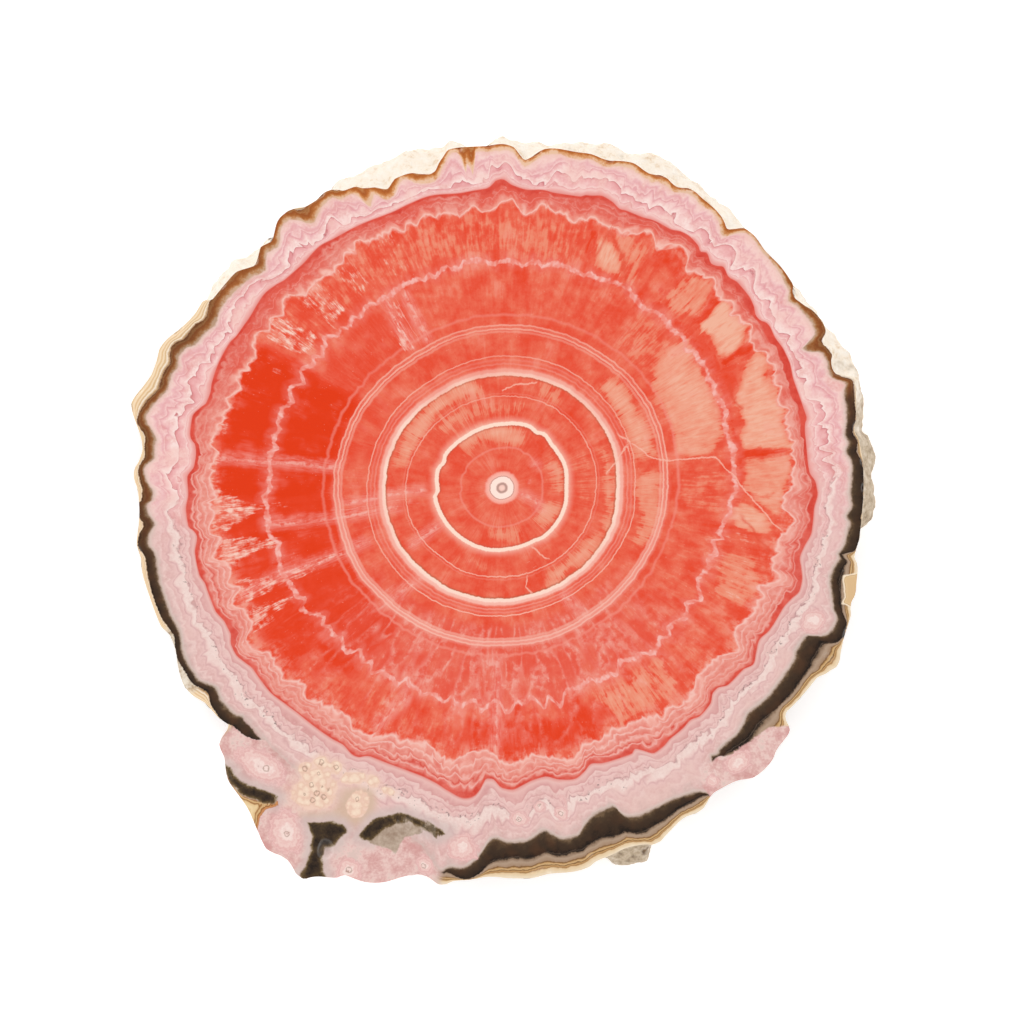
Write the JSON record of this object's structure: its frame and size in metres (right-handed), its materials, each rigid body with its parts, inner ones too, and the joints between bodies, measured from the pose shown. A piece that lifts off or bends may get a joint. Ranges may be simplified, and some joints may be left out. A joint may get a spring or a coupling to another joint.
{
  "type": "rhodochrosite slice",
  "caption": "Thin polished cross-section of a ringed rhodochrosite stalactite with a broken natural rind, lying flat as a display or collector's stone.",
  "frame": {"origin": "where the growth canal, the centre of all the rings, meets the flat sawn back", "axes": "+Z along the canal, out of the polished face; +Y towards the top of the face as it is shown, away from the lobe; +X to its right"},
  "size_m": [0.0931, 0.0938, 0.007],
  "materials": {
    "banded_stone": "polished, coral red and pink growth rings with a brown and cream rind"
  },
  "bodies": {
    "root": {"slice": "banded_stone"}
  },
  "joints": []
}
